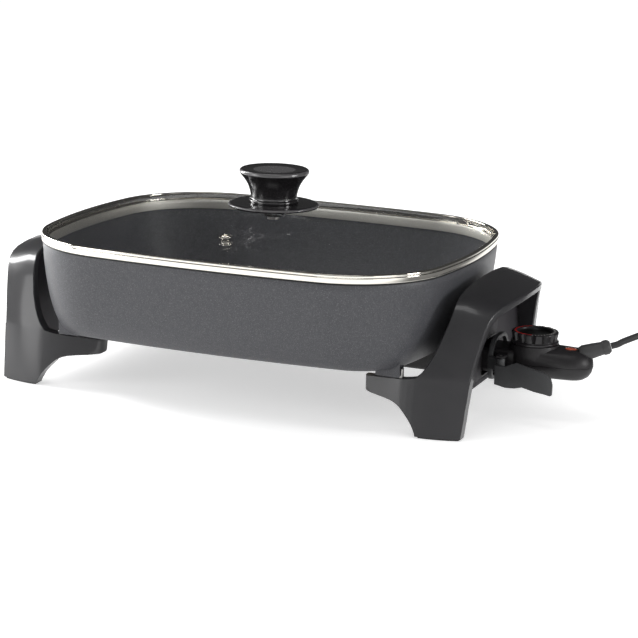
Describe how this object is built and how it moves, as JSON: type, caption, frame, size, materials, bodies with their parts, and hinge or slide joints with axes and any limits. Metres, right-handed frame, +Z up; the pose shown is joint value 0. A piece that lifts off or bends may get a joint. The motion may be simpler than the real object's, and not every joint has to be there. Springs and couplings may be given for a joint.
{
  "type": "electric skillet",
  "caption": "Electric skillet: bowed rectangular non-stick pan on moulded leg-and-grip end frames, lift-off domed glass lid, plug-in heat control with dial, release lever and cord.",
  "frame": {"origin": "on the table plane, under the centre of the skillet with its heat control plugged in, cord left out", "axes": "+X along the skillet's length towards the heat control, +Y away from the side with the steam vent, +Z up"},
  "size_m": [0.7317, 0.4579, 0.2105],
  "materials": {
    "charcoal_non_stick": "dark non-stick coating",
    "black_phenolic": "satin moulded phenolic",
    "matt_panel": "matt moulding",
    "black_probe_plastic": "satin moulding",
    "grey_lever_plastic": "matt moulding",
    "gloss_black_knob": "polished moulding",
    "black_rubber": "matt",
    "cord_black": "smooth sheath",
    "polished_steel": "polished",
    "plain_steel": "plain turned",
    "element_sheath": "dull heat-marked sheath",
    "brass": "plain",
    "clear_glass": "clear",
    "white_ceramic": "unglazed",
    "amber_lens": "clear coloured moulding",
    "neon_lamp": "clear",
    "brown_moulding": "matt"
  },
  "bodies": {
    "root": {"pan": "charcoal_non_stick", "left_end_frame": "black_phenolic", "right_end_frame": "black_phenolic", "left_inner_panel": "matt_panel", "right_inner_panel": "matt_panel", "foot_pad_front_left": "black_rubber", "foot_pad_front_right": "black_rubber", "foot_pad_rear_left": "black_rubber", "foot_pad_rear_right": "black_rubber", "arm_screw_front_left": "plain_steel", "arm_screw_front_right": "plain_steel", "arm_screw_rear_left": "plain_steel", "arm_screw_rear_right": "plain_steel", "heating_element": "element_sheath", "front_terminal_pin": "plain_steel", "rear_terminal_pin": "plain_steel", "front_pin_insulator": "white_ceramic", "rear_pin_insulator": "white_ceramic", "sensor_sleeve": "plain_steel", "socket_guard": "plain_steel"},
    "lid": {"lid_glass": "clear_glass", "lid_rim": "polished_steel", "vent_eyelet": "polished_steel", "knob_gasket": "black_rubber", "knob_base": "gloss_black_knob", "knob": "gloss_black_knob", "knob_washer": "black_rubber", "knob_screw": "plain_steel"},
    "probe": {"probe_upper_shell": "black_probe_plastic", "probe_lower_shell": "black_probe_plastic", "probe_nose": "black_probe_plastic", "front_contact": "brass", "rear_contact": "brass", "front_shell_screw": "plain_steel", "rear_shell_screw": "plain_steel", "sensor_rod": "plain_steel", "lever_pin": "plain_steel", "thermostat_block": "brown_moulding", "thermostat_blade": "brass", "indicator_lens": "amber_lens", "indicator_lamp": "neon_lamp", "strain_relief": "black_rubber", "cord": "cord_black", "cord_coil": "cord_black", "cord_tail": "cord_black", "cord_tie": "black_rubber", "plug": "cord_black", "left_plug_blade": "brass", "right_plug_blade": "brass"},
    "dial": {"dial": "black_probe_plastic", "dial_shaft": "plain_steel"},
    "lever": {"release_lever": "grey_lever_plastic"}
  },
  "joints": [
    {"name": "lid_lift", "type": "slide", "parent": "root", "child": "lid", "axis": [0, 0, 1], "range_m": [0, 0.15]},
    {"name": "probe_pull", "type": "slide", "parent": "root", "child": "probe", "axis": [1, 0, 0], "range_m": [0, 0.12]},
    {"name": "dial_turn", "type": "hinge", "parent": "probe", "child": "dial", "pos_m": [0.2347, 0, 0.0685], "axis": [0, 0, -1], "range_deg": [0, 300]},
    {"name": "lever_press", "type": "hinge", "parent": "probe", "child": "lever", "pos_m": [0.2117, -0.0295, 0.0537], "axis": [0, 0, 1], "range_deg": [0, 6]}
  ]
}
